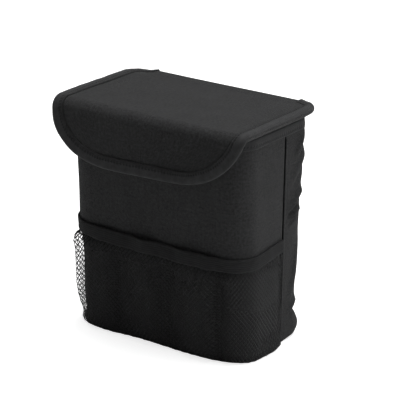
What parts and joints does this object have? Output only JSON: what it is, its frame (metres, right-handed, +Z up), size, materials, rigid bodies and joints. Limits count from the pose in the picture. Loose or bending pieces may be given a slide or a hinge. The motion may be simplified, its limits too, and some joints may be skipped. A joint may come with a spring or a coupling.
{
  "type": "car trash bin",
  "caption": "Soft black hanging car trash bin with a flap lid that folds over the front, an elastic-topped net pocket round the front and sides, and a back strap.",
  "frame": {"origin": "middle of the footprint of the closed bin, at the ground", "axes": "+Z up; -Y is the front with the net pocket and the lid's lip; +X is the bin's left-hand side as it faces its user, so on the right when seen from the front"},
  "size_m": [0.172, 0.116, 0.1854],
  "materials": {
    "bin_cloth": "plain-woven black polyester cloth, faint sheen",
    "lid_cloth": "plain-woven black polyester cloth, faint sheen",
    "lining": "coated waterproof lining cloth, smooth",
    "edge_tape": "fine ribbed woven tape",
    "net": "knitted polyester net",
    "elastic": "ribbed elastic band",
    "webbing": "twill woven webbing",
    "loop_tape": "soft looped touch tape",
    "hook_tape": "stiff hooked touch tape",
    "stiffener": "thin plastic sheet",
    "padding": "thin soft foam sheet"
  },
  "bodies": {
    "bin": {"front_panel": "bin_cloth", "rear_panel": "bin_cloth", "base_panel": "bin_cloth", "front_stiffener": "stiffener", "rear_padding": "padding", "base_board": "stiffener", "lining": "lining", "rim_tape": "edge_tape", "foot_tape": "edge_tape", "hinge_strip": "bin_cloth", "pocket_net": "net", "pocket_band": "elastic", "closure_loop_patch": "loop_tape", "strap_under": "webbing", "strap_over": "webbing", "strap_loop_tape": "loop_tape", "strap_hook_tape": "hook_tape"},
    "lid": {"lid_panel": "lid_cloth", "lid_board": "stiffener", "lid_lining": "lining", "lid_edge_tape": "edge_tape", "closure_hook_patch": "hook_tape"}
  },
  "joints": [
    {"name": "lid_hinge", "type": "hinge", "parent": "bin", "child": "lid", "pos_m": [0, 0.05462, 0.177], "axis": [-1, 0, 0], "range_deg": [0, 260]}
  ]
}
